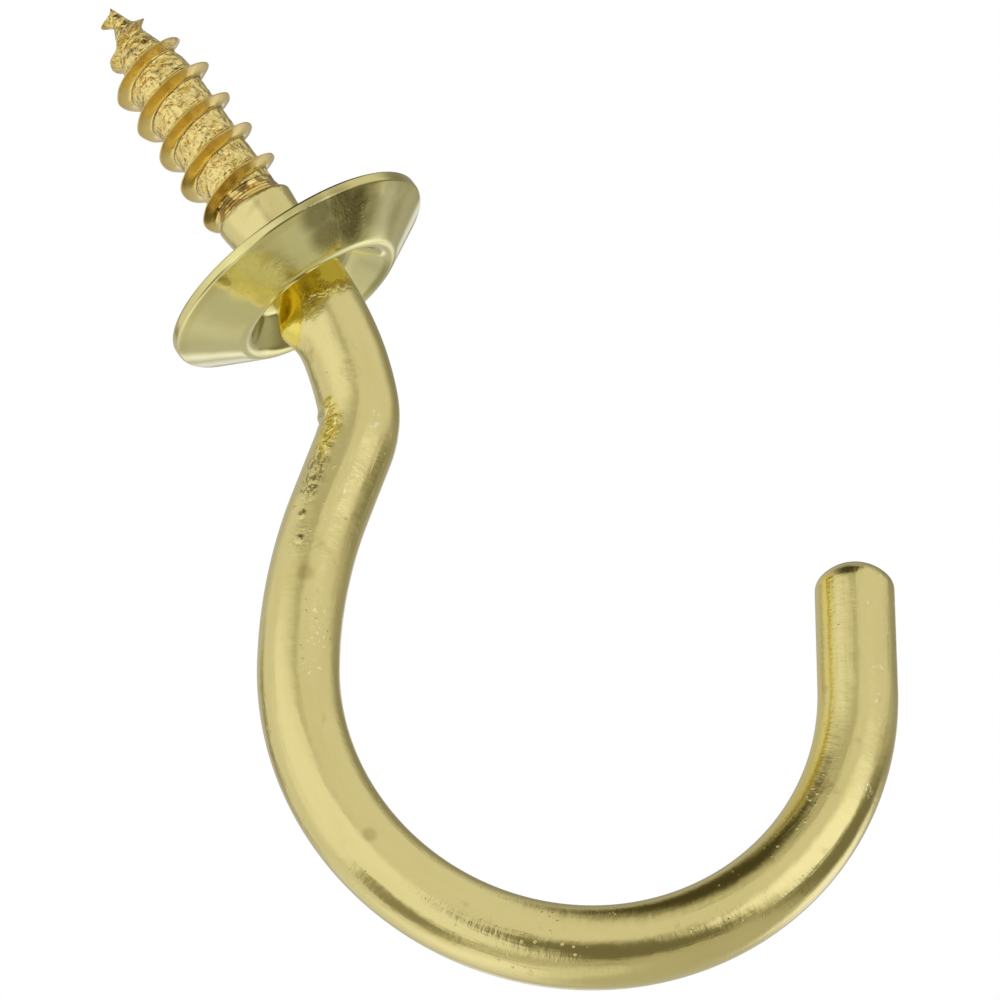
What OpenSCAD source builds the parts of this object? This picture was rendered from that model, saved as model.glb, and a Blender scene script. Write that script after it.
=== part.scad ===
// Cup hook: a bent wire with a rolled wood-screw thread, and a pressed collar on its shank.
// The screw runs up +Z from the collar's wall face at z = 0, and the hook hangs below it
// in the XZ plane with its open end towards +X.

/* [Wire] */
// Diameter of the wire that the whole hook is bent from
wire_d = 3.1; // [2.5:0.1:4]

/* [Neck] */
// Centreline radius of the gentle lean that starts at the collar's hub
lean_r = 14; // [8:0.5:30]
// Turn of the lean, in degrees
lean_angle = 23; // [8:0.5:35]
// Centreline radius of the tight shoulder bend
shoulder_r = 4; // [3:0.1:10]
// Turn of the shoulder bend, in degrees
shoulder_angle = 30.5; // [15:0.5:50]
// Straight run between the shoulder and the back
waist_len = 2.6; // [0.5:0.1:8]
// Centreline radius of the back, which turns the other way
back_r = 20; // [10:0.5:50]
// Turn of the back, in degrees
back_angle = 19; // [5:0.5:40]

/* [Hook] */
// Inside diameter of the hook's round
hook_inner_d = 18; // [12:0.5:40]
// Turn of the round, in degrees
hook_angle = 179.5; // [130:0.5:200]
// Straight run at the open end, up to its domed face
end_len = 4; // [1:0.1:12]
// Height of the domed end
dome_h = 1.1; // [0.9:0.05:1.4]
// Radius of the rounded shoulder round the dome
dome_edge = 0.75; // [0.2:0.05:0.8]

/* [Screw] */
// Length of the screw from the collar's wall face to its point
screw_len = 13.5; // [11:0.1:25]
// Plain shank between the wall face and the thread
shank_len = 2.9; // [1:0.1:6]
// How far the rolled-up lip at the shank's top stands out from the wire
lip_rise = 0.07; // [0.02:0.01:0.2]
// Length over which the shank flares out to its lip
lip_len = 1; // [0.3:0.1:1]
// Distance between neighbouring thread crests
pitch_len = 1.58; // [1:0.02:2.4]
// How far the thread crests stand out from the wire
crest_rise = 0.35; // [0.15:0.01:0.6]
// How far the thread root lies below the wire's surface
root_sink = 0.21; // [0.05:0.01:0.4]
// Length of the tapered gimlet point
point_len = 4; // [2.5:0.1:8]
// Length over which the thread's root sinks and its crest rises, just above the shank
run_in = 0.5; // [0.4:0.1:3]
// Bare length between the end of the thread and the very point
spike_len = 0.12; // [0.1:0.02:0.6]

/* [Collar] */
// Outside diameter of the collar's rim
collar_d = 11.3; // [10:0.1:16]
// Height of the collar from the wall face to its crest
collar_h = 1.7; // [1.3:0.05:3]
// Thickness of the collar's sheet metal
sheet_t = 0.3; // [0.25:0.05:0.5]
// Width of the flat hub that grips the shank
hub_w = 0.4; // [0.1:0.05:0.8]
// Gap between the hub and the wall face
hub_lift = 0.2; // [0.05:0.05:0.2]
// Slope of the funnel between the hub and the crest, in degrees
funnel_angle = 50; // [35:1:70]
// Inside radius of the bend between the hub and the funnel
funnel_bend = 0.4; // [0.1:0.05:0.5]
// Inside radius of the bend over the crest
crest_bend = 0.2; // [0.05:0.05:0.3]
// Inside radius of the turned-down rim
rim_bend = 0.05; // [0.05:0.05:0.3]
// Straight edge of the rim that meets the wall
rim_land = 0.25; // [0.05:0.05:0.4]
// Radial gap between the collar and the wire, 0 for a tight fit
collar_gap = 0; // [0:0.01:0.05]

/* [Hidden] */

$fn = 96;
BRASS = [0.80, 0.76, 0.45];
BRASS_COLLAR = [0.72, 0.70, 0.43];

wire_r = wire_d / 2;
grip_len = hub_lift + sheet_t;    // straight wire below the wall face, through the collar's hub
hook_r = hook_inner_d / 2 + wire_r;
crest_r = wire_r + crest_rise;

// Each stretch of wire starts this far inside the one before it, and this much thinner.
WELD_LEN = 0.05;
WELD_STEP = 0.002;
// Steps along a rounded corner of a turned profile
ARC_STEPS = 8;

// Points round a centre from one angle to another, in either direction.
function arc(centre, r, from, to) =
    [for (i = [0 : ARC_STEPS]) let (a = from + (to - from) * i / ARC_STEPS) centre + r * [cos(a), sin(a)]];

// Thread: the profile's stations run as rows along the helix, right-handed and rising towards the point.
SIDES = 32;
SEAM = 157.5;                     // angle round the screw at which the thread ends
TUCK = 0.1;                       // least length of thread core buried in the shank, all the way round
BURIED = 0.8;                     // radius of the buried foot, as a share of the wire's
ROOT_START = 0.4;                 // share of the root's depth that it has where it leaves the shank
// One pitch of the profile: [share of the pitch, share of the way from root to crest]
PROFILE = [
    [0.00, 0.00], [0.56, 0.00], [0.63, 0.20], [0.70, 0.62],
    [0.75, 1.00], [0.78, 1.00], [0.86, 0.48], [0.95, 0.07]
];
ROWS = len(PROFILE);
thread_top = screw_len - spike_len;
turns = ceil((thread_top - shank_len + TUCK) / pitch_len);
thread_z = thread_top - (turns + 1) * pitch_len;
LAST = turns * ROWS;

function taper(z, power) = 1 - pow(max(0, z - screw_len + point_len) / point_len, power);
function grown(z) = min(1, max(0, z - shank_len) / run_in);
function root_depth(z) = root_sink * (ROOT_START + (1 - ROOT_START) * grown(z));
function core_r(z) = z < shank_len - pitch_len ? BURIED * wire_r : wire_r - root_depth(z);
function root_at(z) = core_r(z) * taper(z, 1.2);
function crest_at(z) = root_at(z) + (crest_r * taper(z, 1.45) - root_at(z)) * grown(z);
function thread_point(row, side) =
    let (
        station = PROFILE[row % ROWS],
        z = thread_z + pitch_len * (floor(row / ROWS) + station[0] + side / SIDES),
        r = root_at(z) + (crest_at(z) - root_at(z)) * station[1],
        a = SEAM + 360 * side / SIDES
    )
    [r * cos(a), r * sin(a), z];
// Number of a point: a row's last side is the next turn's first, and past the last row only the seam goes on.
function at(row, side) =
    side == SIDES ? at(row + ROWS, 0)
    : row > LAST ? LAST * (SIDES - 1) + SIDES + row - 1
    : row * SIDES + side;

module thread() {
    foot = at(LAST + ROWS, 0) + 1;
    point = foot + 1;
    points = concat(
        [for (row = [0 : LAST], side = [0 : SIDES - 1]) thread_point(row, side)],
        [for (row = [LAST + 1 : LAST + ROWS]) thread_point(row, 0)],
        [[0, 0, thread_z], [0, 0, screw_len]]
    );
    skin = [
        for (row = [0 : LAST - 1], side = [0 : SIDES - 1])
            let (low = at(row, side), high = at(row + 1, side + 1))
            each [[low, at(row + 1, side), high], [low, high, at(row, side + 1)]]
    ];
    foot_cap = [for (side = [0 : SIDES - 1]) [foot, at(0, side), at(0, side + 1)]];
    point_cap = [for (side = [0 : SIDES - 1]) [point, at(LAST, side + 1), at(LAST, side)]];
    foot_seam = concat([foot], [for (row = [ROWS : -1 : 0]) at(row, 0)]);
    point_seam = concat([point], [for (row = [LAST : LAST + ROWS]) at(row, 0)]);
    polyhedron(points, concat(skin, foot_cap, point_cap, [foot_seam, point_seam]), convexity = 20);
}

// Wire path: each stretch is drawn along local +Z and carries what follows at its end.
module follow() {
    let ($r = $r - WELD_STEP) children();
}

module run(length) {
    translate([0, 0, -WELD_LEN]) cylinder(h = length + WELD_LEN, r = $r);
    translate([0, 0, length]) follow() children();
}

module bend(bend_r, turn) {
    side = sign(turn);
    lead = WELD_LEN / bend_r * 180 / PI;
    translate([side * bend_r, 0, 0])
        mirror([side > 0 ? 1 : 0, 0, 0])
            rotate([90, 0, 0])
                rotate_extrude(angle = abs(turn) + lead, start = -lead, $fn = 192)
                    translate([bend_r, 0]) circle($r, $fn = 96);
    translate([side * bend_r * (1 - cos(turn)), 0, bend_r * sin(abs(turn))])
        rotate([0, turn, 0]) follow() children();
}

module dome() {
    shoulder = [$r - dome_edge, 0];
    // The cap's radius is the one that meets the shoulder without an edge.
    cap_r = (pow(shoulder[0], 2) + pow(dome_h, 2) - pow(dome_edge, 2)) / (2 * (dome_h - dome_edge));
    meet = atan2(cap_r - dome_h, shoulder[0]);
    rotate_extrude()
        polygon(concat(
            [[0, -WELD_LEN], [$r, -WELD_LEN]],
            arc(shoulder, dome_edge, 0, meet),
            arc([0, dome_h - cap_r], cap_r, meet, 90)
        ));
}

module shank() {
    translate([0, 0, -grip_len]) cylinder(h = grip_len + shank_len, r = wire_r);
    translate([0, 0, shank_len - lip_len])
        cylinder(h = lip_len, r1 = wire_r, r2 = wire_r + lip_rise);
}

module hook() {
    color(BRASS) {
        thread();
        shank();
        rotate([0, 180, 0])
            translate([0, 0, grip_len])
                let ($r = wire_r - WELD_STEP)
                bend(lean_r, lean_angle)
                bend(shoulder_r, shoulder_angle)
                run(waist_len)
                bend(back_r, -back_angle)
                bend(hook_r, -hook_angle)
                run(end_len)
                dome();
    }
}

module collar() {
    bore_r = wire_r + collar_gap;
    crest_out = crest_bend + sheet_t;
    rim_out = rim_bend + sheet_t;
    climb = collar_h - hub_lift - sheet_t - (funnel_bend + crest_out) * (1 - cos(funnel_angle));
    hub_mid = [bore_r + hub_w, hub_lift + sheet_t + funnel_bend];
    crest_mid = [
        hub_mid[0] + (funnel_bend + crest_out) * sin(funnel_angle) + climb / tan(funnel_angle),
        collar_h - crest_out
    ];
    rim_mid = [collar_d / 2 - rim_out, rim_land];
    // The skirt is the common tangent of the crest bend and the rim bend.
    fall = crest_mid - rim_mid;
    skirt_angle = atan2(fall[1], -fall[0]) + asin((crest_bend - rim_bend) / norm(fall));
    hook_side = concat(
        [[bore_r, hub_lift + sheet_t]],
        arc(hub_mid, funnel_bend, -90, funnel_angle - 90),
        arc(crest_mid, crest_out, 90 + funnel_angle, 90 - skirt_angle),
        arc(rim_mid, rim_out, 90 - skirt_angle, 0),
        [[collar_d / 2, 0]]
    );
    wall_side = concat(
        [[collar_d / 2 - sheet_t, 0]],
        arc(rim_mid, rim_bend, 0, 90 - skirt_angle),
        arc(crest_mid, crest_bend, 90 - skirt_angle, 90 + funnel_angle),
        arc(hub_mid, funnel_bend + sheet_t, funnel_angle - 90, -90),
        [[bore_r, hub_lift]]
    );
    color(BRASS_COLLAR)
        mirror([0, 0, 1])
            rotate_extrude() polygon(concat(hook_side, wall_side));
}

hook();
collar();
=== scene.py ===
"""Brass cup hook: a bent wire with a rolled screw thread, and a pressed collar on its shank.

The screw points up +Z from the wall face at z = 0, and the hook hangs below it in the XZ plane.
"""

import math

import bpy
import numpy as np
from bpy.props import FloatProperty, FloatVectorProperty, IntProperty, PointerProperty
from mathutils import Matrix, Vector, noise


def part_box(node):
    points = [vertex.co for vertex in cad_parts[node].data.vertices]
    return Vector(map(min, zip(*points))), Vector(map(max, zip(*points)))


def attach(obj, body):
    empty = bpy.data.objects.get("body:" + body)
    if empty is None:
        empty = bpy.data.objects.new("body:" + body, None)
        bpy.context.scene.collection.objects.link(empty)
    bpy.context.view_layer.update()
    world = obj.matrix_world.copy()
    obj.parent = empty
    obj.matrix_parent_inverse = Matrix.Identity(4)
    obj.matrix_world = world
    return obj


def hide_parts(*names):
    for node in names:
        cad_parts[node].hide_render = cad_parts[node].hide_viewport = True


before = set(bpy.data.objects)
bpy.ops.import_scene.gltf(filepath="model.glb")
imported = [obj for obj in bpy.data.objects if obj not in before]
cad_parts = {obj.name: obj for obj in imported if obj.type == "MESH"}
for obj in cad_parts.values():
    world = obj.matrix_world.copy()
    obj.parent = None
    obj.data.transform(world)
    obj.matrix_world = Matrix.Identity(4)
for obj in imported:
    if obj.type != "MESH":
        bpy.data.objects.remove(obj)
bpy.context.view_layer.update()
HOOK_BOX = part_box("hook")
COLLAR_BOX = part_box("collar")

bl_info = {
    "name": "Cup Hook",
    "version": (1, 0, 0),
    "blender": (4, 5, 0),
    "location": "View3D > Sidebar > Cup Hook",
    "description": "Builds a brass cup hook with its collar, its finishes and its studio",
    "category": "Add Mesh",
}

MM = 0.001


def length(name, description, default):
    """A length property in metres."""
    return FloatProperty(
        name=name,
        description=description,
        default=default,
        min=0.0,
        precision=5,
        subtype="DISTANCE",
        unit="LENGTH",
    )


def angle(name, description, degrees):
    """An angle property, given in degrees."""
    return FloatProperty(
        name=name,
        description=description,
        default=math.radians(degrees),
        subtype="ANGLE",
        unit="ROTATION",
    )


def colour(name, description, default):
    """A linear colour property."""
    return FloatVectorProperty(
        name=name,
        description=description,
        default=default,
        size=3,
        min=0.0,
        max=1.0,
        subtype="COLOR",
    )


def level(name, description, default, top=1.0):
    """A plain number property."""
    return FloatProperty(name=name, description=description, default=default, min=0.0, max=top)


# Sizes and finishes


class WireSizes(bpy.types.PropertyGroup):
    """Sizes of the bent wire below the wall face."""

    diameter: length("Wire", "Diameter of the wire", 3.1 * MM)
    grip: length("Grip", "Straight wire held by the collar's hub", 0.5 * MM)
    lean_radius: length("Lean radius", "Centreline radius of the lean under the collar", 14 * MM)
    lean_turn: angle("Lean", "Turn of the lean", 23)
    shoulder_radius: length("Shoulder radius", "Centreline radius of the shoulder", 4 * MM)
    shoulder_turn: angle("Shoulder", "Turn of the shoulder", 30.5)
    waist: length("Waist", "Straight run below the shoulder", 2.6 * MM)
    back_radius: length("Back radius", "Centreline radius of the back", 20 * MM)
    back_turn: angle("Back", "Turn of the back", 19)
    round_radius: length("Round radius", "Centreline radius of the hook's round", 10.55 * MM)
    round_turn: angle("Round", "Turn of the hook's round", 179.5)
    end: length("End", "Straight run at the open end", 4 * MM)
    dome: length("Dome", "Height of the domed end", 1.1 * MM)
    dome_edge: length("Dome edge", "Radius round the dome's edge", 0.75 * MM)
    sides: IntProperty(name="Sides", description="Points round the wire", default=112, min=24)


class ScrewSizes(bpy.types.PropertyGroup):
    """Sizes of the screw above the wall face."""

    height: length("Screw", "Height of the point above the wall face", HOOK_BOX[1].z)
    shank: length("Shank", "Plain shank below the thread", 2.9 * MM)
    lip_rise: length("Lip", "How far the shank's lip stands out", 0.07 * MM)
    lip: length("Flare", "Length over which the shank flares to its lip", 1 * MM)
    pitch: length("Pitch", "Distance between crests", 1.58 * MM)
    crest_rise: length("Crest", "Height of the crests above the wire", 0.35 * MM)
    root_sink: length("Root", "Depth of the root below the wire", 0.21 * MM)
    point: length("Point", "Length of the tapered point", 4 * MM)
    run_in: length("Run-in", "Length over which the thread grows", 0.5 * MM)
    spike: length("Spike", "Bare length between the thread and the point", 0.12 * MM)
    seam: angle("Seam", "Angle round the screw at which the thread ends", 157.5)


class CollarSizes(bpy.types.PropertyGroup):
    """Sizes of the pressed collar."""

    diameter: length("Collar", "Outside diameter of the rim", COLLAR_BOX[1].x - COLLAR_BOX[0].x)
    height: length("Height", "Height from the wall face to the crest", -COLLAR_BOX[0].z)
    sheet: length("Sheet", "Thickness of the sheet", 0.3 * MM)
    hub: length("Hub", "Width of the flat hub", 0.4 * MM)
    hub_lift: length("Hub lift", "Gap between the hub and the wall face", 0.2 * MM)
    funnel: angle("Funnel", "Slope of the funnel", 50)
    funnel_bend: length("Funnel bend", "Radius between the hub and the funnel", 0.4 * MM)
    crest_bend: length("Crest bend", "Inside radius over the crest", 0.2 * MM)
    rim_fold: length("Rim fold", "Outside radius of the fold at the rim", 0.18 * MM)
    rim_land: length("Rim land", "Straight edge that meets the wall", 0.25 * MM)
    sides: IntProperty(name="Sides", description="Points round the collar", default=256, min=24)


class BrassFinish(bpy.types.PropertyGroup):
    """Colours of the plated brass, with the colours of its painted highlights, reflections and
    shade.
    """

    wire: colour("Wire", "Plated wire", (0.80, 0.695, 0.30))
    wire_deep: colour("Wire, deep", "Deeper patches of the wire's plating", (0.68, 0.585, 0.215))
    # Crest: partly wear, and partly painted shade that dims the crests' bright reflection
    crest: colour("Crest", "Worn crests of the rolled thread", (0.74, 0.55, 0.26))
    # Gold: plating on the wrinkles, and painted reflection and highlights on the neck inside the
    # collar and along the inside of the hook's end
    gold_and_reflection: colour("Golden", "Golden plating in the collar's hollow", (0.90, 0.74, 0.15))
    thread: colour("Thread", "Root of the rolled thread", (0.92, 0.73, 0.27))
    flank: colour("Flank", "Flanks of the rolled thread", (0.90, 0.70, 0.22))
    collar: colour("Collar", "Polished collar", (0.82, 0.77, 0.36))
    stain: colour("Stain", "Brown stains", (0.42, 0.28, 0.08))
    burnt: colour("Burnt", "Burnt patches at the shank's end", (0.27, 0.15, 0.02))
    scuff: colour("Scuff", "Dark specks of scuffed plating", (0.28, 0.24, 0.07))
    # Fleck: painted highlights on the crumpled wrinkles
    fleck_highlight: colour("Fleck", "Bright flecks on the wrinkled bends", (1.0, 0.93, 0.48))
    # Glint: painted highlights on small pits along the wire
    glint: colour("Glint", "Pale dents along the wire", (1.0, 0.96, 0.68))
    # Brushed: painted reflection of the hook on a brushed patch of the collar
    brushed_reflection: colour("Brushed", "Bright brushed patch on the collar", (1.0, 0.93, 0.38))
    # Tarnish: a dark mottled patch on the collar, partly tarnish and partly a painted dark
    # reflection; also the colour of the painted shade in its funnel
    tarnish_and_shade: colour("Tarnish", "Dark patch on the collar", (0.16, 0.13, 0.03))
    lacquer: level("Lacquer", "Weight of the clear lacquer over the brass", 0.6)
    wire_roughness: level("Wire roughness", "Roughness of the drawn wire", 0.14)
    thread_roughness: level("Thread roughness", "Roughness of the rolled thread", 0.17)
    collar_roughness: level("Collar roughness", "Roughness of the polished collar", 0.10)


class Studio(bpy.types.PropertyGroup):
    """Camera, floor and light."""

    azimuth: angle("Azimuth", "Direction of the camera round the hook", -18.83)
    elevation: angle("Elevation", "Height of the camera, negative from below", -16.0)
    roll: angle("Roll", "Roll of the camera", -36.06)
    distance: length("Distance", "From the camera to what it looks at", 155.46 * MM)
    lens: FloatProperty(name="Lens", description="Focal length", default=147.02, unit="CAMERA")
    floor_drop: length("Floor drop", "Depth of the floor below the wall face", 60 * MM)
    floor: colour("Floor", "Pale floor", (0.86, 0.86, 0.85))
    surround: level("Surround", "Level of the studio's surround", 0.54, 2.0)


class CupHook(bpy.types.PropertyGroup):
    """Everything a user may change."""

    wire: PointerProperty(type=WireSizes, name="Wire", description="Bent wire")
    screw: PointerProperty(type=ScrewSizes, name="Screw", description="Screw thread")
    collar: PointerProperty(type=CollarSizes, name="Collar", description="Pressed collar")
    finish: PointerProperty(type=BrassFinish, name="Finish", description="Brass finishes")
    studio: PointerProperty(type=Studio, name="Studio", description="Camera, floor and light")


# Shader maths


class Value:
    """A socket in a shader. Arithmetic on it adds Math nodes."""

    def __init__(self, nodes, socket):
        self.nodes = nodes
        self.socket = socket

    def math(self, operation, first, second=0.0):
        return self.nodes.add("ShaderNodeMath", {"operation": operation}, {0: first, 1: second})

    def __add__(self, other):
        return self.math("ADD", self, other)

    def __radd__(self, other):
        return self.math("ADD", other, self)

    def __sub__(self, other):
        return self.math("SUBTRACT", self, other)

    def __rsub__(self, other):
        return self.math("SUBTRACT", other, self)

    def __mul__(self, other):
        return self.math("MULTIPLY", self, other)

    def __rmul__(self, other):
        return self.math("MULTIPLY", other, self)

    def __truediv__(self, other):
        return self.math("DIVIDE", self, other)

    def __rtruediv__(self, other):
        return self.math("DIVIDE", other, self)

    def absolute(self):
        return self.math("ABSOLUTE", self)

    def power(self, exponent):
        return self.math("POWER", self, exponent)

    def most(self, other):
        return self.math("MAXIMUM", self, other)


class Nodes:
    """The nodes of one material, or of the world."""

    def __init__(self, tree):
        self.tree = tree
        self.tree.nodes.clear()

    def add(self, kind, settings=None, inputs=None, output=0):
        """A node of one kind, with its settings and then its sockets. Gives one of its outputs."""
        node = self.tree.nodes.new(kind)
        for name, value in (settings or {}).items():
            setattr(node, name, value)
        for key, value in (inputs or {}).items():
            if isinstance(value, Value):
                self.tree.links.new(value.socket, node.inputs[key])
            else:
                node.inputs[key].default_value = value
        if not node.outputs:
            return None
        return Value(self, node.outputs[output])

    def span(self, value, low, high, start=0.0, end=1.0):
        """Start below low and end above high, with a soft step between them."""
        return self.add(
            "ShaderNodeMapRange",
            {"interpolation_type": "SMOOTHSTEP"},
            {"Value": value, "From Min": low, "From Max": high, "To Min": start, "To Max": end},
        )

    def mix(self, factor, first, second):
        """From the first colour to the second."""
        inputs = {0: factor}
        for key, value in ((6, first), (7, second)):
            inputs[key] = value if isinstance(value, Value) else (*value, 1.0)
        return self.add("ShaderNodeMix", {"data_type": "RGBA"}, inputs, output=2)

    def stretch(self, vector, scale):
        """A vector with its axes scaled."""
        settings = {"operation": "MULTIPLY"}
        return self.add("ShaderNodeVectorMath", settings, {0: vector, 1: scale})

    def dot(self, first, second):
        """How far two vectors agree."""
        settings = {"operation": "DOT_PRODUCT"}
        return self.add("ShaderNodeVectorMath", settings, {0: first, 1: second}, output=1)

    def attribute(self, name, output):
        """What the mesh keeps for each point: a vector from output 1, or a number from output 2."""
        return self.add("ShaderNodeAttribute", {"attribute_name": name}, None, output=output)

    def part(self, vector, axis):
        """One axis of a vector."""
        return self.add("ShaderNodeSeparateXYZ", None, {0: vector}, output=axis)

    def grain(self, vector, scale, detail=2.0, roughness=0.5, distortion=0.0):
        """Soft noise from 0 to 1."""
        inputs = {
            "Vector": vector,
            "Scale": scale,
            "Detail": detail,
            "Roughness": roughness,
            "Distortion": distortion,
        }
        return self.add("ShaderNodeTexNoise", None, inputs)

    def cells(self, vector, scale):
        """Distance from the middle of the nearest cell."""
        return self.add("ShaderNodeTexVoronoi", None, {"Vector": vector, "Scale": scale})

    def fade(self, value, low, high):
        """1 below low and 0 above high, with a soft step between them."""
        return self.span(value, low, high, 1.0, 0.0)

    def spot(self, vector, centre, radius, soft):
        """1 inside a ball and 0 outside it."""
        settings = {"operation": "DISTANCE"}
        distance = self.add("ShaderNodeVectorMath", settings, {0: vector, 1: centre}, output=1)
        return self.fade(distance, radius - soft, radius + soft)

    def spots(self, vector, places):
        """1 near any of some places, each a centre and a radius. Their edges are soft."""
        mask = 0.0
        for centre, radius in places:
            mask = self.spot(vector, centre, radius, radius * 0.5).most(mask)
        return mask

    def bump(self, height, strength, distance):
        """A normal from a height."""
        inputs = {"Height": height, "Strength": strength, "Distance": distance}
        return self.add("ShaderNodeBump", None, inputs)


def new_material(name):
    """An empty material and its nodes."""
    material = bpy.data.materials.new(name)
    material.use_nodes = True
    return material, Nodes(material.node_tree)


def finish_metal(nodes, base, roughness, normal, lacquer):
    """A metal surface under clear lacquer."""
    inputs = {"Base Color": base, "Roughness": roughness, "Normal": normal, "Metallic": 1.0}
    inputs.update({"Coat Weight": lacquer, "Coat Roughness": 0.06, "Coat IOR": 1.5})
    surface = nodes.add("ShaderNodeBsdfPrincipled", None, inputs)
    nodes.add("ShaderNodeOutputMaterial", None, {"Surface": surface})


# Distance between the rings that turning left at the thread's foot, in millimetres
TURNED_RING_MM = 0.15
# Marks on the wire as if it were straight: a place and a radius, in millimetres
WRINKLES = (
    ((-1.29, -0.87, -6.7), 0.32),
    ((-1.24, -0.94, -7.2), 0.40),
    ((-1.12, -1.07, -7.8), 0.44),
    ((-1.00, -1.18, -8.4), 0.46),
    ((-1.00, -1.18, -9.2), 0.38),
)
BRUISES = (
    ((-1.00, -1.18, -9.8), 0.46),
    ((-0.97, -1.21, -10.4), 0.44),
    ((-0.93, -1.24, -11.0), 0.38),
    ((-0.85, -1.30, -12.0), 0.16),
    ((-0.66, -1.40, -13.0), 0.16),
)
SCUFFS = (
    ((-0.30, -1.52, -5.6), 0.45),
    ((-0.10, -1.54, -4.6), 0.35),
    ((0.60, -1.43, -9.8), 0.50),
    ((-0.55, -1.45, -13.0), 0.60),
)
# Painted highlights: places of the pale glints
GLINTS = (
    ((0.84, -1.30, -8.8), 0.25),
    ((0.45, -1.48, -7.5), 0.30),
    ((0.35, -1.51, -10.4), 0.30),
    ((0.05, -1.55, -11.8), 0.30),
    ((1.30, -0.84, -11.6), 0.25),
    ((1.06, -1.13, -12.7), 0.30),
    ((0.68, -1.39, -15.8), 0.42),
    ((0.61, -1.43, -17.0), 0.38),
    ((0.40, -1.50, -18.2), 0.42),
    ((-0.91, -1.25, -46.3), 0.35),
    ((-0.91, -1.25, -48.9), 0.26),
    ((-0.37, -1.50, -49.8), 0.26),
    ((1.45, -0.50, -50.4), 0.30),
    ((-0.53, -1.46, -50.8), 0.28),
    ((-1.29, -0.87, -52.7), 0.26),
    ((-0.30, -1.52, -53.3), 0.26),
    ((-1.30, -0.84, -53.8), 0.26),
    ((-0.98, -1.20, -54.7), 0.28),
)
STAINS = (
    ((-0.14, -1.54, -14.3), 0.30),
    ((-0.05, -1.55, -25.1), 0.26),
    ((1.39, -0.68, -50.2), 0.16),
)


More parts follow.
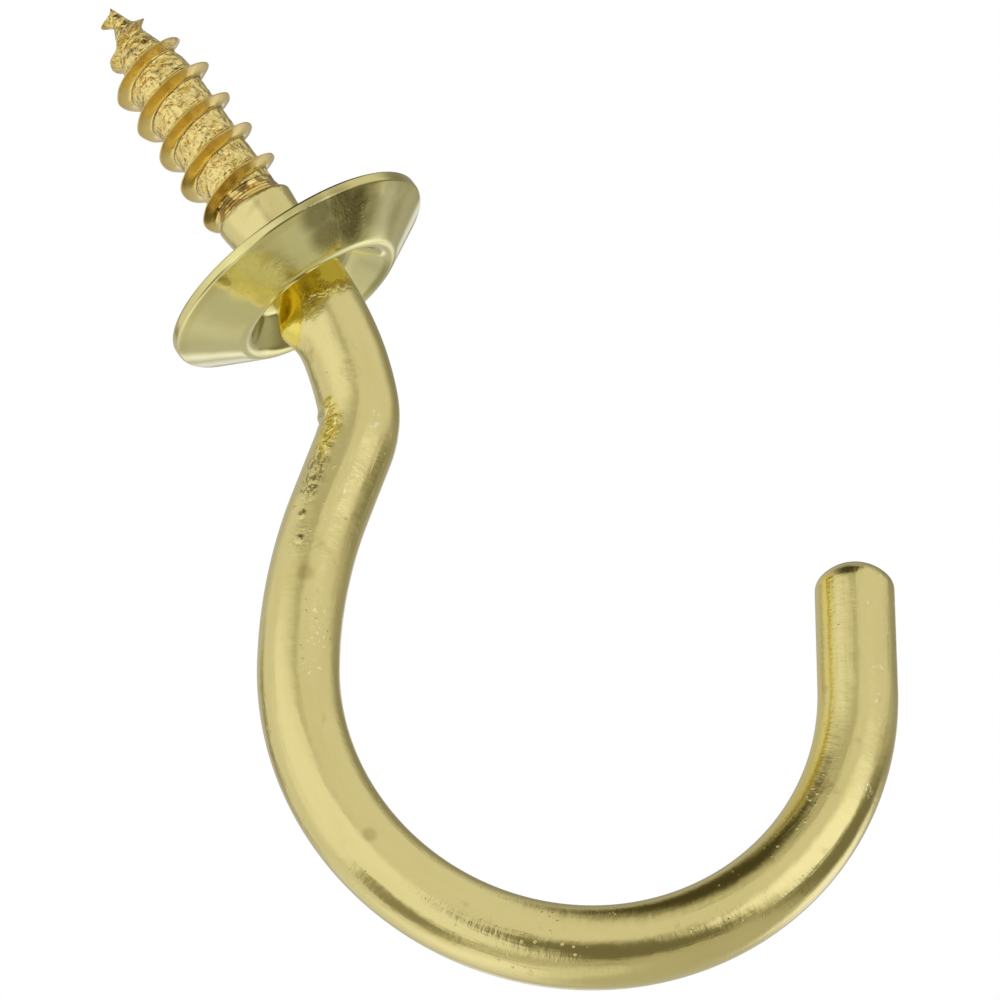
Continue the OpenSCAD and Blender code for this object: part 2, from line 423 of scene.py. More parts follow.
class WireMarks:
    """Where the hook's finishes and marks lie, and where highlights, reflections and shade are
    painted. Each mask goes from 0 to 1.
    """

    def __init__(self, nodes, screw):
        # The wire as if it were straight, in millimetres: two axes across it and one along it
        self.straight = nodes.attribute("straight_mm", output=1)
        self.across = nodes.part(self.straight, 0)
        self.along = nodes.part(self.straight, 2)
        # 0 in the thread's root and 1 on its crest
        self.flank = nodes.attribute("thread_share", output=2)
        self.ragged = nodes.grain(self.straight, 2.4, 3.0, 0.6) - 0.5
        self.mark_screw(nodes, screw.shank / MM, screw.height / MM)
        self.mark_hollow(nodes)
        self.mark_bends(nodes)

    def mark_screw(self, nodes, foot, top):
        """The rolled thread from its foot to its top: its hammered root, the rings that turning
        left at its foot, and a line of painted shade where the shank's lip meets the thread."""
        edge = self.along + self.ragged * 0.35
        self.on_thread = nodes.span(edge, foot - 0.04, foot + 0.04)
        # Painted shade: a dark line at the shank's lip, where it meets the thread
        self.lip_shade_line = nodes.fade((edge - (foot - 0.06)).absolute(), 0.03, 0.08)
        past_foot = self.along - foot
        self.hammered = nodes.fade(self.flank, 0.02, 0.10) * nodes.span(past_foot, 0.55, 0.85)
        self.rings = nodes.fade(self.flank, 0.1, 0.5) * nodes.fade(past_foot, 0.65, 0.85)
        self.mangled = nodes.span(self.along, top - 4.1, top - 2.3)
        # Brown pits in the hammered root, partly stains and partly painted shade that darkens the
        # recessed root
        pores_and_root_shade = nodes.span(nodes.grain(self.straight, 3.2, 3.0, 0.7), 0.50, 0.64)
        self.pores_and_root_shade = pores_and_root_shade * self.hammered.most(self.rings)
        burnt = nodes.span(nodes.grain(self.straight, 1.7, 3.0, 0.6), 0.46, 0.54)
        self.burnt = burnt * self.rings

    def mark_hollow(self, nodes):
        """The neck inside the collar, painted gold as the collar's reflection and shade, and its
        ragged rim with stains and painted gold sparkles.
        """
        edge = self.along + 1.9 + (-0.95 - self.across).most(0.0) * 2.2 + self.ragged * 0.9
        self.hollow_reflection = nodes.span(edge, -0.08, 0.08) * nodes.fade(self.along, 0.0, 0.1)
        rim = nodes.fade(edge.absolute(), 0.05, 0.28)
        self.hollow_rim = rim * nodes.span(self.across, -1.0, -0.5, 0.35, 1.0)
        self.rim_stain = self.hollow_rim * nodes.span(self.across, -0.4, 0.2, 0.3, 0.6)
        self.rim_sparkle = self.hollow_rim * nodes.span(self.across, 0.2, 0.5, 1.0, 0.3)

    def mark_bends(self, nodes):
        """The bent wire: worked plating inside the bends, wrinkles, bruises, small pits painted
        pale as glints, stains, and a painted highlight along the inside of the end.
        """
        straight = self.straight
        bend_side = nodes.span(self.along, -16.0, -19.0)
        shoulder = nodes.stretch(straight, (1.0, 1.0, 0.45))
        inner = nodes.span(self.across, 0.7, 1.3) * bend_side
        inner = inner.most(nodes.spot(shoulder, (-1.5, -0.5, -3.6), 0.9, 0.5))
        self.wrinkles = nodes.spots(straight, WRINKLES)
        self.bruises = nodes.spots(straight, BRUISES)
        self.scuffs = nodes.spots(straight, SCUFFS)
        self.streaks = nodes.grain(nodes.stretch(straight, (1.0, 1.0, 0.12)), 1.3, 3.0, 0.6)
        worked = nodes.span(self.streaks, 0.5, 0.66).most(inner * 0.9)
        self.worked = worked.most(self.bruises).most(self.scuffs)
        # Small pits with a slight bump, painted pale as glints
        dents_and_glints = nodes.span(nodes.grain(straight, 5.2, 1.0, 0.5, 0.4), 0.61, 0.68)
        self.dents_and_glints = dents_and_glints * nodes.spots(straight, GLINTS)
        self.crumple = nodes.grain(nodes.stretch(straight, (1.0, 1.0, 0.7)), 3.4, 2.0, 0.6, 0.6)
        specks = nodes.grain(nodes.stretch(straight, (1.0, 1.0, 0.7)), 6.5, 2.0)
        self.specks = nodes.span(specks, 0.50, 0.57)
        stains = nodes.span(nodes.grain(straight, 0.8, 3.0), 0.64, 0.74) * 0.35
        self.stains = stains.most(nodes.spots(straight, STAINS) * 0.42)
        # Painted highlight: a bright gold line along the inside of the hook's end
        inner_end_highlight = nodes.span(self.across, 0.9, 1.35) * nodes.span(self.along, -41.0, -45.0)
        self.inner_end_highlight = inner_end_highlight * nodes.span(self.streaks, 0.36, 0.60, 0.2, 0.75)


def wire_colour(nodes, marks, finish):
    """Plated wire, with the marks of bending and handling, and painted highlights, reflections and
    shade.
    """
    patches = nodes.grain(nodes.stretch(marks.straight, (1.0, 1.0, 0.25)), 0.9, 4.0, 0.6)
    # Painted highlights: bright flecks where the crumpled relief stands highest
    fleck_highlights = nodes.span(marks.crumple, 0.51, 0.57)
    base = nodes.mix(nodes.span(patches, 0.42, 0.68) * 0.30, finish.wire, finish.wire_deep)
    for mask, paint in (
        (marks.stains, finish.stain),
        # Painted reflection and shade of the collar on the neck inside it, and gold plating on the
        # wrinkles
        ((marks.hollow_reflection * 0.92).most(marks.wrinkles * 0.9), finish.gold_and_reflection),
        (marks.wrinkles * 0.3, finish.stain),
        (marks.rim_stain, finish.stain),
        # Painted highlights: gold sparkles at the rim of the neck's painted reflection, and bright
        # flecks on the wrinkles
        (fleck_highlights * marks.rim_sparkle * 0.9, finish.gold_and_reflection),
        (fleck_highlights * marks.wrinkles, finish.fleck_highlight),
        (marks.specks * marks.bruises.most(marks.scuffs * 0.15) * 0.92, finish.scuff),
        # Painted highlights: pale glints
        (marks.dents_and_glints * 0.75, finish.glint),
        # Painted highlight along the inside of the end
        (marks.inner_end_highlight, finish.gold_and_reflection),
    ):
        base = nodes.mix(mask, base, paint)
    return base


def thread_colour(nodes, marks, finish):
    """Golden rolled thread, with its crests darkened partly by wear and partly as painted shade
    that dims their reflection, painted shade with brown pits in its root, and burnt at its foot.
    """
    base = nodes.mix(nodes.span(marks.flank, 0.02, 0.2), finish.thread, finish.flank)
    # Painted shade and wear: the crests are darkened to dim their reflection
    worn_and_shaded = nodes.span(marks.flank, 0.5, 0.9) * nodes.fade(marks.flank, 0.93, 0.985)
    base = nodes.mix(worn_and_shaded * 0.8, base, finish.crest)
    # Painted shade and stains: brown pits in the thread's root
    base = nodes.mix(marks.pores_and_root_shade * 0.55, base, finish.stain)
    return nodes.mix(marks.burnt * 0.85, base, finish.burnt)


def wire_relief(nodes, marks, drawn):
    """Height of the wire's fine relief, in millimetres."""
    straight = marks.straight
    cross_grain = nodes.grain(nodes.stretch(straight, (1.0, 1.0, 3.0)), 2.6, 3.0, 0.65)
    peel = nodes.grain(straight, 1.1, 2.0, 0.5)
    pitting = nodes.grain(nodes.stretch(straight, (1.0, 1.0, 0.3)), 0.9, 2.0)
    pits = nodes.fade(nodes.cells(straight, 3.2), 0.06, 0.20) * nodes.span(pitting, 0.52, 0.62)
    crumpled = marks.wrinkles.most(marks.hollow_rim * 0.35).most(marks.bruises * 0.5)
    height = peel * 0.025 + cross_grain * (0.004 + marks.worked * 0.014) + drawn * 0.004
    return height + pits * 0.02 + marks.dents_and_glints * 0.006 + marks.crumple * crumpled * 0.09


def thread_relief(nodes, marks):
    """Height of the thread's fine relief, in millimetres."""
    straight = marks.straight
    facets = nodes.cells(straight, 2.6) * 0.10 + nodes.grain(straight, 2.7, 1.5, 0.5, 1.0) * 0.14
    facets = facets * (1.0 + marks.mangled * 0.5) * marks.hammered.most(marks.mangled * 0.7)
    waves = marks.along * (2 * math.pi / TURNED_RING_MM)
    turned = nodes.add("ShaderNodeMath", {"operation": "SINE"}, {0: waves})
    smooth = nodes.grain(straight, 3.0, 2.0) * 0.010
    return facets + turned * marks.rings * 0.010 + smooth


def brass_wire_material(cup_hook):
    """Drawn and plated brass wire, rougher inside its bends, and golden on the rolled thread."""
    finish = cup_hook.finish
    material, nodes = new_material("plated_brass_wire")
    marks = WireMarks(nodes, cup_hook.screw)
    on_thread = marks.on_thread
    on_wire = 1.0 - on_thread
    base = nodes.mix(
        on_thread, wire_colour(nodes, marks, finish), thread_colour(nodes, marks, finish)
    )
    # Painted shade: the lip's line is painted in the burnt colour, darker on one side of the wire
    lip_shade_line = marks.lip_shade_line * nodes.span(marks.across, -0.9, 0.3, 0.3, 0.9)
    base = nodes.mix(lip_shade_line, base, finish.burnt)
    drawn = nodes.grain(nodes.stretch(marks.straight, (1.0, 1.0, 0.06)), 3.5, 3.0, 0.6)
    smooth = finish.wire_roughness + (drawn - 0.5) * 0.08 + marks.worked * 0.06
    rolled = nodes.span(marks.flank, 0.1, 0.5, 0.0, 0.14) + finish.thread_roughness
    roughness = smooth * on_wire + rolled * on_thread
    height = wire_relief(nodes, marks, drawn) * on_wire + thread_relief(nodes, marks) * on_thread
    normal = nodes.bump(height, 1.0, 1.0 * MM)
    # Less lacquer on the neck where the collar's reflection is painted
    lacquer = finish.lacquer * (1.0 - marks.hollow_reflection * 0.7)
    finish_metal(nodes, base, roughness, normal, lacquer)
    return material


# Marks on the collar: a place and a radius, in millimetres
# Partly tarnish and partly a painted dark reflection: a dark mottled patch on the collar
TARNISH_AND_SHADE = (
    ((0.20, -5.2, -0.6), 0.70),
    ((0.35, -4.4, -1.1), 0.70),
    ((1.20, -5.0, -0.6), 0.70),
    ((1.40, -4.2, -1.2), 0.75),
    ((2.00, -4.6, -0.8), 0.60),
)
# Painted shade: darker, duller patches inside the collar's funnel
SHADED_DULL_PATCHES = (
    ((3.2, -3.2, -1.0), 1.0),
    ((2.6, -3.9, -1.0), 0.8),
    ((3.8, -3.6, -0.5), 0.7),
    ((2.7, 1.0, -1.3), 1.1),
)
# Painted reflection: a bright patch on a brushed, rougher part of the collar
BRUSHED_REFLECTION = (
    ((-3.0, -4.2, -0.8), 0.70),
    ((-2.4, -3.6, -1.3), 0.70),
    ((-3.3, -3.3, -1.1), 0.60),
)


def collar_material(cup_hook):
    """Polished and plated brass sheet with fine turning lines, a dark mottled patch of tarnish and
    painted reflection, painted shade in its funnel and at its rim, and a painted reflection on a
    brushed patch.
    """
    finish = cup_hook.finish
    material, nodes = new_material("polished_brass_collar")
    where = nodes.add("ShaderNodeTexCoord", None, None, output="Object")
    where = nodes.stretch(where, (1 / MM, 1 / MM, 1 / MM))
    patches = nodes.grain(where, 0.5, 3.0, 0.5)
    mottle = nodes.grain(where, 2.2, 4.0, 0.7)
    tarnish_and_shade = nodes.spots(where, TARNISH_AND_SHADE) * nodes.span(mottle, 0.20, 0.38)
    shaded_dull = nodes.spots(where, SHADED_DULL_PATCHES)
    from_axis = nodes.stretch(where, (1.0, 1.0, 0.0))
    from_axis = nodes.add("ShaderNodeVectorMath", {"operation": "LENGTH"}, {0: from_axis}, output=1)
    rim = nodes.span(from_axis, 5.25, 5.45)
    brushed_reflection = nodes.spots(where, BRUSHED_REFLECTION)
    base = nodes.mix(nodes.span(patches, 0.4, 0.7) * 0.4, finish.collar, finish.wire_deep)
    # Painted shade: the rim's fold is darkened to dim its bright reflection
    base = nodes.mix(rim * 0.4, base, finish.wire_deep)
    # Tarnish and painted shade: the dark patch, and the shaded patches in the funnel
    base = nodes.mix((tarnish_and_shade * 0.72).most(shaded_dull * 0.5), base, finish.tarnish_and_shade)
    # Painted reflection on the brushed patch
    base = nodes.mix(brushed_reflection, base, finish.brushed_reflection)
    scuffs = nodes.grain(nodes.stretch(where, (1.0, 1.0, 0.4)), 3.0, 4.0, 0.7)
    roughness = finish.collar_roughness + (scuffs - 0.5) * 0.12 + brushed_reflection * 0.10 + shaded_dull * 0.06
    hairlines = nodes.grain(nodes.stretch(where, (1.0, 0.5, 1.0)), 5.5, 2.0, 0.6)
    height = nodes.grain(where, 1.2, 2.0, 0.5) * 0.006 + scuffs * 0.0006
    height = height + hairlines * (brushed_reflection * 0.02).most(tarnish_and_shade * 0.015)
    normal = nodes.bump(height, 1.0, 1.0 * MM)
    finish_metal(nodes, base, roughness, normal, finish.lacquer)
    return material


# Meshes


def add_piece(name, points, faces, material, nodes, extras=None):
    """A smooth mesh that rides on the frame and stands for its CAD nodes."""
    mesh = bpy.data.meshes.new(name)
    mesh.from_pydata([tuple(p) for p in points], [], faces)
    if mesh.validate(verbose=False):
        raise RuntimeError(f"{name} has faults in its mesh")
    mesh.polygons.foreach_set("use_smooth", [True] * len(mesh.polygons))
    for label, values in (extras or {}).items():
        values = np.asarray(values, np.float32)
        kind, field = ("FLOAT", "value") if values.ndim == 1 else ("FLOAT_VECTOR", "vector")
        attribute = mesh.attributes.new(label, kind, "POINT")
        attribute.data.foreach_set(field, values.ravel())
    mesh.materials.append(material)
    piece = bpy.data.objects.new(name, mesh)
    bpy.context.scene.collection.objects.link(piece)
    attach(piece, "root")
    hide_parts(*nodes)
    return piece


def soft_step(value, low, high):
    """0 below low and 1 above high, with a soft step between them."""
    share = np.clip((np.asarray(value, float) - low) / (high - low), 0.0, 1.0)
    return share * share * (3.0 - 2.0 * share)


def bell(value, centre, width):
    """1 at the centre, falling off on both sides."""
    return np.exp(-(((np.asarray(value, float) - centre) / width) ** 2))


def arc_points(centre, radius, start, end, steps=14):
    """Points round a centre from one angle to another, in degrees."""
    angles = np.radians(np.linspace(start, end, steps + 1))
    return [(centre[0] + radius * math.cos(a), centre[1] + radius * math.sin(a)) for a in angles]


def wire_stations(wire, step=0.2 * MM):
    """Stations down the wire: x, z, heading and distance. Heading 0 points down."""
    stretches = (
        (None, wire.grip),
        (wire.lean_radius, wire.lean_turn),
        (wire.shoulder_radius, wire.shoulder_turn),
        (None, wire.waist),
        (wire.back_radius, -wire.back_turn),
        (wire.round_radius, -wire.round_turn),
        (None, wire.end),
    )
    x = z = heading = walked = 0.0
    stations = [(x, z, heading, walked)]
    for radius, amount in stretches:
        reach = amount if radius is None else radius * abs(amount)
        count = max(2, math.ceil(reach / step))
        side = 0.0 if radius is None else math.copysign(1.0, amount)
        for k in range(1, count + 1):
            share = k / count
            if radius is None:
                now = heading
                ahead_x = x - math.sin(heading) * reach * share
                ahead_z = z - math.cos(heading) * reach * share
            else:
                now = heading + amount * share
                ahead_x = x - side * radius * (math.cos(heading) - math.cos(now))
                ahead_z = z + side * radius * (math.sin(heading) - math.sin(now))
            stations.append((ahead_x, ahead_z, now, walked + reach * share))
        x, z, heading, walked = stations[-1]
    return stations


def ring(x, z, heading, radii, angles):
    """Points round one station of the wire."""
    across = radii * np.cos(angles)
    return np.column_stack(
        (x + across * math.cos(heading), radii * np.sin(angles), z - across * math.sin(heading))
    )


# Marks of the press on the inside of the neck: how far down, spread and how far out, in millimetres
PINCHED_NECK = (
    (7.35, 0.22, -0.10),
    (6.90, 0.25, 0.05),
    (2.30, 0.78, 0.42),
)


def turned_from(angles, middle):
    """How far some angles are from a middle one, the short way round."""
    return np.angle(np.exp(1j * (angles - middle)))


def wire_radius(wire, walked, angles):
    """Radius of the wire's skin at one distance, with its marks."""
    radius = wire.diameter / 2
    mm = walked / MM
    # The wire is a little thicker at the neck and thinner at its end
    swell = 1.0 + 0.02 * bell(mm, 4.3, 2.2) - 0.006 * soft_step(mm, 6.0, 12.0)
    swell -= 0.014 * soft_step(mm, 38.0, 50.0)
    radii = np.full(len(angles), radius * swell)
    inside = bell(np.abs(turned_from(angles, math.pi)), 0.0, 0.55)
    for down, spread, out in PINCHED_NECK:
        radii += out * MM * bell(mm, down, spread) * inside
    return radii


def thread_profile():
    """One pitch of the thread: share of the pitch, and share of the way from root to crest."""
    shares = np.concatenate(
        (
            np.linspace(0.0, 0.54, 13, endpoint=False),
            np.linspace(0.54, 0.735, 9, endpoint=False),
            (0.735, 0.750, 0.758, 0.772, 0.780),
            np.linspace(0.80, 0.98, 7),
        )
    )
    known = (0.0, 0.54, 0.60, 0.64, 0.68, 0.715, 0.748, 0.758, 0.772, 0.780, 0.85, 0.90, 0.95, 0.99)
    heights = (0.0, 0.0, 0.07, 0.20, 0.42, 0.69, 0.97, 1.0, 1.0, 0.96, 0.50, 0.24, 0.06, 0.0)
    return shares, np.interp(shares, known, heights)


# The lip's rounded edge: how far in from its radius and above the shank, in millimetres
LIP_EDGE = ((0.0, -0.04), (0.012, -0.015), (0.04, 0.01), (0.08, 0.03), (0.14, 0.03))
# How far the very point leans off the axis
TIP_LEAN = 0.09 * MM
# Share of the root's depth that it has where it leaves the shank
ROOT_START = 0.4
# Angle round the screw at which the crests are torn, and how far round they are
TORN_SIDE = math.radians(161)
TORN_SPREAD = 0.6
# Torn lobes of the crests: height above the wall face, spread and how far out, in millimetres
TORN_LOBES = (
    (11.35, 0.35, 0.22),
    (13.00, 0.22, 0.36),
)


class HookSkin:
    """The hook's skin as it grows: points, the places they would have on a straight wire in
    millimetres, how far up the thread's flank they are, and faces."""

    def __init__(self, sides):
        self.sides = sides
        self.turn = np.arange(sides) * 2 * math.pi / sides + math.pi
        self.points = []
        self.places = []
        self.flanks = []
        self.faces = []
        self.last_ring = None

    def add_point(self, point, place, flank=0.0):
        """Add one point and give its number."""
        self.points.append(tuple(point))
        self.places.append(tuple(place))
        self.flanks.append(flank)
        return len(self.points) - 1

    def add_ring(self, x, z, heading, radii, walked):
        """Add a ring round the wire and join it to what came before: a ring, or a lone point."""
        first = len(self.points)
        straight = np.column_stack((radii * np.cos(self.turn), radii * np.sin(self.turn)))
        for point, place in zip(ring(x, z, heading, radii, self.turn), straight / MM):
            self.add_point(point, (*place, -walked / MM))
        for k in range(self.sides):
            after = (k + 1) % self.sides
            if self.last_ring is None:
                self.faces.append((first - 1, first + after, first + k))
            else:
                low = self.last_ring
                self.faces.append((low + k, low + after, first + after, first + k))
        self.last_ring = first


def hook_mesh(cup_hook):
    """The skin of the whole hook, from the domed end to the point."""
    skin = HookSkin(cup_hook.wire.sides)
    add_wire(skin, cup_hook.wire)
    add_shank(skin, cup_hook.wire, cup_hook.screw)
    add_thread(skin, cup_hook)
    return skin


def add_wire(skin, wire):
    """The domed end, from its middle out, and the bent wire up to the wall face."""
    stations = wire_stations(wire)
    x, z, heading, walked = stations[-1]
    radius = float(wire_radius(wire, walked, skin.turn).mean())
    edge = wire.dome_edge
    shoulder = radius - edge
    cap = (shoulder**2 + wire.dome**2 - edge**2) / (2 * (wire.dome - edge))
    meet = math.degrees(math.atan2(cap - wire.dome, shoulder))
    dome = arc_points((shoulder, 0.0), edge, 0, meet, 8)
    dome += arc_points((0.0, wire.dome - cap), cap, meet, 90, 14)[1:]
    middle = (x - math.sin(heading) * wire.dome, 0.0, z - math.cos(heading) * wire.dome)
    skin.add_point(middle, (0.0, 0.0, -(walked + wire.dome) / MM))
    # The dome's first point is on the wire's last ring, and its last one is the middle.
    for across, out in reversed(dome[1:-1]):
        place = (x - math.sin(heading) * out, z - math.cos(heading) * out)
        skin.add_ring(*place, heading, np.full(skin.sides, across), walked + out)
    for x, z, heading, walked in reversed(stations):
        skin.add_ring(x, z, heading, wire_radius(wire, walked, skin.turn), walked)


def add_shank(skin, wire, screw):
    """The plain shank and its flared lip."""
    radius = float(wire_radius(wire, 0.0, skin.turn).mean())
    lip_radius = wire.diameter / 2 + screw.lip_rise
    for height in np.arange(0.2 * MM, screw.shank - 0.05 * MM, 0.15 * MM):
        share = float(soft_step(height, screw.shank - screw.lip, screw.shank))
        across = radius + (lip_radius - radius) * share
        skin.add_ring(0.0, height, 0.0, np.full(skin.sides, across), -height)
    for inward, rise in LIP_EDGE:
        height = screw.shank + rise * MM
        skin.add_ring(0.0, height, 0.0, np.full(skin.sides, lip_radius - inward * MM), -height)


def add_thread(skin, cup_hook):
    """The thread, in rows that follow the helix from the shank's lip to the point."""
    screw = cup_hook.screw
    sides = skin.sides
    join = screw.shank + LIP_EDGE[-1][1] * MM
    top = screw.height
    shares, heights = thread_profile()
    rows = len(shares)
    laps = math.ceil((top - join) / screw.pitch) + 2
    seam_rise = screw.pitch * (math.pi - screw.seam) / (2 * math.pi)
    start = top - screw.spike + seam_rise - laps * screw.pitch
    apex = skin.add_point((TIP_LEAN, 0.0, top), (0.0, 0.0, top / MM))
    numbers = {}

    def number(row, k):
        """Number of a thread's point, on the lip's ring below the thread and at the apex above."""
        z = start + screw.pitch * (row // rows + shares[row % rows] + k / sides)
        if z <= join:
            return skin.last_ring + k
        if z >= top - 0.02 * MM:
            return apex
        if (row, k) not in numbers:
            share = float(heights[row % rows])
            point = thread_point(cup_hook, z, skin.turn[k], share)
            numbers[row, k] = skin.add_point(point, [c / MM for c in point], share)
        return numbers[row, k]

    for row in range((laps + 2) * rows - 1):
        for k in range(sides):
            # Past a row's last side comes the next turn's first.
            ahead, next_k = (row, k + 1) if k + 1 < sides else (row + rows, 0)
            corners = [number(row, k), number(ahead, next_k), number(ahead + 1, next_k)]
            corners.append(number(row + 1, k))
            face = [c for i, c in enumerate(corners) if c != corners[i - 1]]
            if len(set(face)) >= 3:
                skin.faces.append(tuple(face))


def thread_point(cup_hook, z, a, share):
    """A point on the thread's skin, with the marks that rolling leaves."""
    screw = cup_hook.screw
    radius = cup_hook.wire.diameter / 2
    tapered = max(0.0, z - screw.height + screw.point) / screw.point
    grown = min(1.0, max(0.0, z - screw.shank) / screw.run_in)
    depth = screw.root_sink * (ROOT_START + (1 - ROOT_START) * grown)
    core = (radius - depth) * (1.0 - tapered**1.2)
    crest = (radius + screw.crest_rise) * (1.0 - tapered**1.45)
    where = Vector((math.cos(a) * core, math.sin(a) * core, z)) / MM
    # Hammered root: ridges round soft hollows
    ridges = 0.5 - min(1.0, abs(noise.noise(where * 2.6)) * 2.6)
    rough = ridges * 0.5 + noise.noise(where * 5.0) * 0.4
    from_lip = float(soft_step((z - screw.shank) / MM, 0.5, 0.9))
    core += rough * 0.05 * MM * (1.0 - share) * (1.0 - tapered**2) * from_lip
    # Crests that are uneven, broken near the point, and torn on one side
    broken = noise.noise(where * 1.15 + Vector((3.0, 1.0, 5.0)))
    near_point = float(soft_step(tapered, 0.3, 0.65))
    crest *= 1.0 - 0.35 * near_point * float(soft_step(broken, 0.0, 0.45))
    crest += noise.noise(where * 1.6 + Vector((7.0, 0.0, 0.0))) * 0.06 * MM
    crest += noise.noise(where * 3.1 + Vector((0.0, 4.0, 2.0))) * 0.16 * MM * near_point
    on_side = float(bell(turned_from(a, TORN_SIDE), 0.0, TORN_SPREAD))
    for height, spread, out in TORN_LOBES:
        crest += on_side * out * MM * float(bell(z / MM, height, spread))
    skin = core + max(0.0, crest - core) * grown * share
    lean = TIP_LEAN * float(soft_step(tapered, 0.45, 1.0))
    return (skin * math.cos(a) + lean, skin * math.sin(a), z)


# Inside radius of the collar's fold at its rim
RIM_INSIDE = 0.05 * MM


def collar_profile(collar, bore):
    """The collar's section as (distance from the axis, depth below the wall face)."""
    crest_out = collar.crest_bend + collar.sheet
    slope = math.degrees(collar.funnel)
    climb = collar.height - collar.hub_lift - collar.sheet
    climb -= (collar.funnel_bend + crest_out) * (1 - math.cos(collar.funnel))
    hub = (bore + collar.hub, collar.hub_lift + collar.sheet + collar.funnel_bend)
    out = (collar.funnel_bend + crest_out) * math.sin(collar.funnel)
    crest = (hub[0] + out + climb / math.tan(collar.funnel), collar.height - crest_out)
    rim = (collar.diameter / 2 - collar.rim_fold, collar.rim_land)
    fall = (crest[0] - rim[0], crest[1] - rim[1])
    skirt = math.degrees(math.atan2(fall[1], -fall[0]))
    skirt += math.degrees(math.asin((crest_out - collar.rim_fold) / math.hypot(*fall)))
    below = [(bore, collar.hub_lift + collar.sheet)]
    below += arc_points(hub, collar.funnel_bend, -90, slope - 90)
    below += arc_points(crest, crest_out, 90 + slope, 90 - skirt)
    below += arc_points(rim, collar.rim_fold, 90 - skirt, 0)
    below += [(collar.diameter / 2, 0.0)]
    above = [(collar.diameter / 2 - collar.sheet, 0.0)]
    inside = (collar.diameter / 2 - collar.sheet - RIM_INSIDE, collar.rim_land)
    above += arc_points(inside, RIM_INSIDE, 0, 90 - skirt, 6)
    above += arc_points(crest, collar.crest_bend, 90 - skirt, 90 + slope, 6)
    above += arc_points(hub, collar.funnel_bend + collar.sheet, slope - 90, -90)
    above += [(bore, collar.hub_lift)]
    return below + above


def even_profile(section, step):
    """The section with long straight runs divided."""
    points = []
    for (r0, z0), (r1, z1) in zip(section, section[1:] + section[:1]):
        count = max(1, math.ceil(math.hypot(r1 - r0, z1 - z0) / step))
        for k in range(count):
            points.append((r0 + (r1 - r0) * k / count, z0 + (z1 - z0) * k / count))
    return points


def collar_mesh(cup_hook):
    """Points and faces of the collar, turned from its section."""
    collar = cup_hook.collar
    section = even_profile(collar_profile(collar, cup_hook.wire.diameter / 2), 0.12 * MM)
    sides = collar.sides
    points = []
    for k in range(sides):
        turn = 2 * math.pi * k / sides
        for radius, depth in section:
            points.append((radius * math.cos(turn), radius * math.sin(turn), -depth))
    rows = len(section)
    faces = []
    for k in range(sides):
        here = k * rows
        after = (k + 1) % sides * rows
        for row in range(rows):
            up = (row + 1) % rows
            faces.append((here + row, after + row, after + up, here + up))
    return points, faces


# Operators


class CUPHOOK_OT_hook(bpy.types.Operator):
    """Build the bent wire with its thread"""

    bl_idname = "cuphook.hook"
    bl_label = "Hook"

    def execute(self, context):
        cup_hook = context.scene.cup_hook
        skin = hook_mesh(cup_hook)
        material = brass_wire_material(cup_hook)
        extras = {"straight_mm": skin.places, "thread_share": skin.flanks}
        add_piece("bent_wire", skin.points, skin.faces, material, ["hook"], extras)
        return {"FINISHED"}


class CUPHOOK_OT_collar(bpy.types.Operator):
    """Build the pressed collar"""

    bl_idname = "cuphook.collar"
    bl_label = "Collar"

    def execute(self, context):
        cup_hook = context.scene.cup_hook
        points, faces = collar_mesh(cup_hook)
        material = collar_material(cup_hook)
        add_piece("pressed_collar", points, faces, material, ["collar"])
        return {"FINISHED"}


def camera_frame(azimuth, elevation, roll):
    """Right, up and forward of a camera, from its angles."""
    back = Vector(
        (
            math.sin(azimuth) * math.cos(elevation),
            -math.cos(azimuth) * math.cos(elevation),
            math.sin(elevation),
        )
    )
    level_right = Vector((math.cos(azimuth), math.sin(azimuth), 0.0))
    level_up = back.cross(level_right)
    right = level_right * math.cos(roll) + level_up * math.sin(roll)
    up = level_up * math.cos(roll) - level_right * math.sin(roll)
    return right, up, -back


# Soft panels and gaps of the studio: azimuth, elevation and twist, half width and half height,
# edge, all in degrees, and level. A later one covers an earlier one.
PANELS = (
    ("broad left panel", -147, 18, 48, 40, 60, 14, 0.95),
    ("broad right panel", -36, 7, 15, 62, 33, 9, 0.77),
    ("far left panel", 145, 21, -19, 28, 59, 14, 0.77),
    ("overhead gap", -20, 68, -12, 28, 19, 11, 0.07),
    ("lens gap", -93, -30, -5, 20, 22, 8, 0.20),
    ("low right gap", 6, -45, 18, 41, 16, 8, 0.22),
    ("low left gap", -171, -15, 0, 16, 14, 7, 0.30),
    ("strip", -54, -27, -44, 24, 14, 8, 1.15),
    ("low left panel", 153, -32, -50, 25, 13, 16, 1.03),
    ("low rear panel", -168, -62, 0, 12, 8, 10, 0.80),
    ("low right panel", 48, -37, 20, 13.5, 13.5, 9, 1.10),
    ("right gap", 40, 13, 25, 30, 22, 17, 0.30),
    ("left gap", 124, 32, -25, 8, 19, 8, 0.34),
    ("low right edge", 63, -22, 50, 7, 5, 6, 0.98),
    ("right card", 60, 7, 60, 6, 4, 4, 0.85),
    ("left card", 93, -8, 30, 8, 4, 5, 1.0),
    ("rear card", 82, 5, 0, 6, 5, 4, 0.8),
)


def direction(azimuth, elevation):
    """A unit vector from degrees round from +X and up."""
    a = math.radians(azimuth)
    e = math.radians(elevation)
    return (math.cos(e) * math.cos(a), math.cos(e) * math.sin(a), math.sin(e))


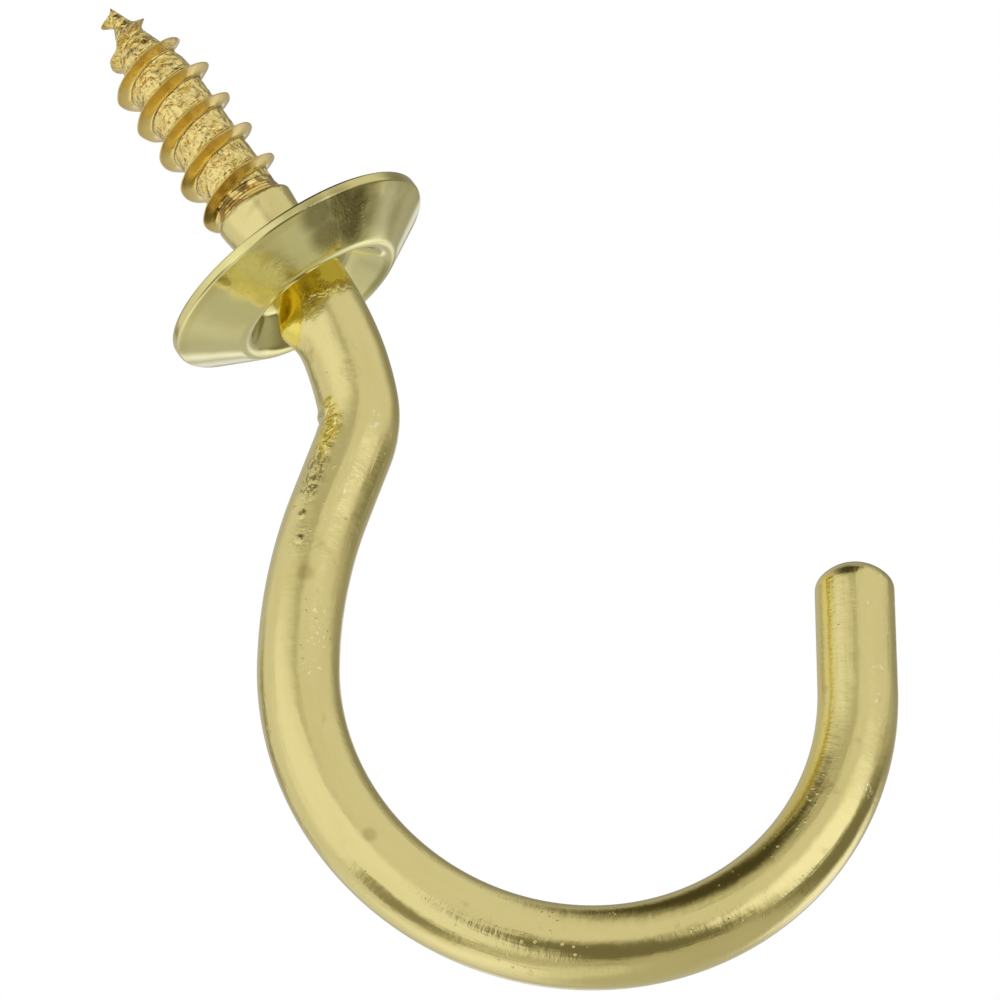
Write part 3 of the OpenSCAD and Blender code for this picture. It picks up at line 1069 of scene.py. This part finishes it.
def panel_axes(azimuth, elevation, twist):
    """The direction of a panel, and the directions across and up it."""
    towards = Vector(direction(azimuth, elevation))
    level_across = Vector(direction(azimuth + 90, 0))
    level_up = towards.cross(level_across)
    turn = math.radians(twist)
    across = level_across * math.cos(turn) + level_up * math.sin(turn)
    upwards = level_up * math.cos(turn) - level_across * math.sin(turn)
    return towards, across, upwards


def make_world(studio):
    """A soft studio all round. Seen straight on, it is a white background."""
    world = bpy.data.worlds.new("studio")
    world.use_nodes = True
    bpy.context.scene.world = world
    nodes = Nodes(world.node_tree)
    looking = nodes.add("ShaderNodeTexCoord", None, None, output="Generated")
    looking = nodes.add("ShaderNodeVectorMath", {"operation": "NORMALIZE"}, {0: looking})
    light = studio.surround
    for _name, azimuth, elevation, twist, width, height, edge, panel_level in PANELS:
        towards, across, upwards = panel_axes(azimuth, elevation, twist)
        ahead = nodes.dot(looking, towards).most(0.001)
        mask = 1.0
        for axis, reach in ((across, width), (upwards, height)):
            slope = (nodes.dot(looking, axis) / ahead).absolute()
            inner = math.tan(math.radians(max(0.0, reach - edge)))
            outer = math.tan(math.radians(reach + edge))
            mask = nodes.fade(slope, inner, outer) * mask
        light = mask * panel_level + (1.0 - mask) * light
    seen = nodes.add("ShaderNodeLightPath", None, None, output="Is Camera Ray")
    light = seen + (1.0 - seen) * light
    # The dimmer parts of the room are warmer.
    warm = {"Red": light, "Green": light.power(1.05), "Blue": light.power(1.3)}
    warm = nodes.add("ShaderNodeCombineColor", None, warm)
    glow_inputs = {"Color": warm, "Strength": 1.0}
    glow = nodes.add("ShaderNodeBackground", None, glow_inputs)
    nodes.add("ShaderNodeOutputWorld", None, {"Surface": glow})


# Width of the square floor, in metres
FLOOR_WIDTH = 3.0


def make_floor(studio):
    """A pale floor well below the hook."""
    material, nodes = new_material("pale_floor")
    where = nodes.add("ShaderNodeTexCoord", None, None, output="Object")
    pale = tuple(studio.floor)
    shade = tuple(c * 0.97 for c in pale)
    base = nodes.mix(nodes.grain(where, 30.0, 3.0), pale, shade)
    inputs = {"Base Color": base, "Roughness": 0.9}
    surface = nodes.add("ShaderNodeBsdfPrincipled", None, inputs)
    nodes.add("ShaderNodeOutputMaterial", None, {"Surface": surface})
    mesh = bpy.data.meshes.new("floor")
    half = FLOOR_WIDTH / 2
    corners = [(-half, -half, 0.0), (half, -half, 0.0), (half, half, 0.0), (-half, half, 0.0)]
    mesh.from_pydata(corners, [], [(0, 1, 2, 3)])
    mesh.materials.append(material)
    floor = bpy.data.objects.new("floor", mesh)
    bpy.context.scene.collection.objects.link(floor)
    floor.location.z = -studio.floor_drop
    floor.visible_glossy = False


# What the camera looks at, in millimetres
AIM = (1.174, 0.0, -12.332)


def make_camera(studio):
    """The camera, which looks up at the hook from below."""
    right, up, forward = camera_frame(studio.azimuth, studio.elevation, studio.roll)
    target = Vector([c * MM for c in AIM])
    camera = bpy.data.objects.new("camera", bpy.data.cameras.new("camera"))
    bpy.context.scene.collection.objects.link(camera)
    turn = Matrix((right, up, -forward)).transposed()
    camera.matrix_world = Matrix.Translation(target - forward * studio.distance) @ turn.to_4x4()
    camera.data.sensor_width = 36.0
    camera.data.lens = studio.lens
    camera.data.clip_start = 1 * MM
    camera.data.clip_end = 10.0
    bpy.context.scene.camera = camera


class CUPHOOK_OT_studio(bpy.types.Operator):
    """Build the camera, the pale floor and the soft light"""

    bl_idname = "cuphook.studio"
    bl_label = "Studio"

    def execute(self, context):
        studio = context.scene.cup_hook.studio
        make_camera(studio)
        make_floor(studio)
        make_world(studio)
        context.scene.view_settings.view_transform = "Standard"
        return {"FINISHED"}


class CUPHOOK_PT_panel(bpy.types.Panel):
    """Lists the operators and their sizes."""

    bl_label = "Cup Hook"
    bl_idname = "CUPHOOK_PT_panel"
    bl_space_type = "VIEW_3D"
    bl_region_type = "UI"
    bl_category = "Cup Hook"

    def draw(self, context):
        layout = self.layout
        cup_hook = context.scene.cup_hook
        for operator, group in (
            ("cuphook.studio", cup_hook.studio),
            ("cuphook.hook", cup_hook.wire),
            (None, cup_hook.screw),
            ("cuphook.collar", cup_hook.collar),
            (None, cup_hook.finish),
        ):
            box = layout.box()
            if operator:
                box.operator(operator)
            for name in group.__annotations__:
                box.prop(group, name)


CLASSES = (
    WireSizes,
    ScrewSizes,
    CollarSizes,
    BrassFinish,
    Studio,
    CupHook,
    CUPHOOK_OT_studio,
    CUPHOOK_OT_hook,
    CUPHOOK_OT_collar,
    CUPHOOK_PT_panel,
)


def register():
    """Add the classes and the scene's properties."""
    for cls in CLASSES:
        bpy.utils.register_class(cls)
    bpy.types.Scene.cup_hook = PointerProperty(type=CupHook)


def unregister():
    """Take them away again."""
    del bpy.types.Scene.cup_hook
    for cls in reversed(CLASSES):
        bpy.utils.unregister_class(cls)


def main():
    """Build everything in order."""
    register()
    bpy.ops.cuphook.studio()
    bpy.ops.cuphook.hook()
    bpy.ops.cuphook.collar()


if __name__ == "__main__":
    main()
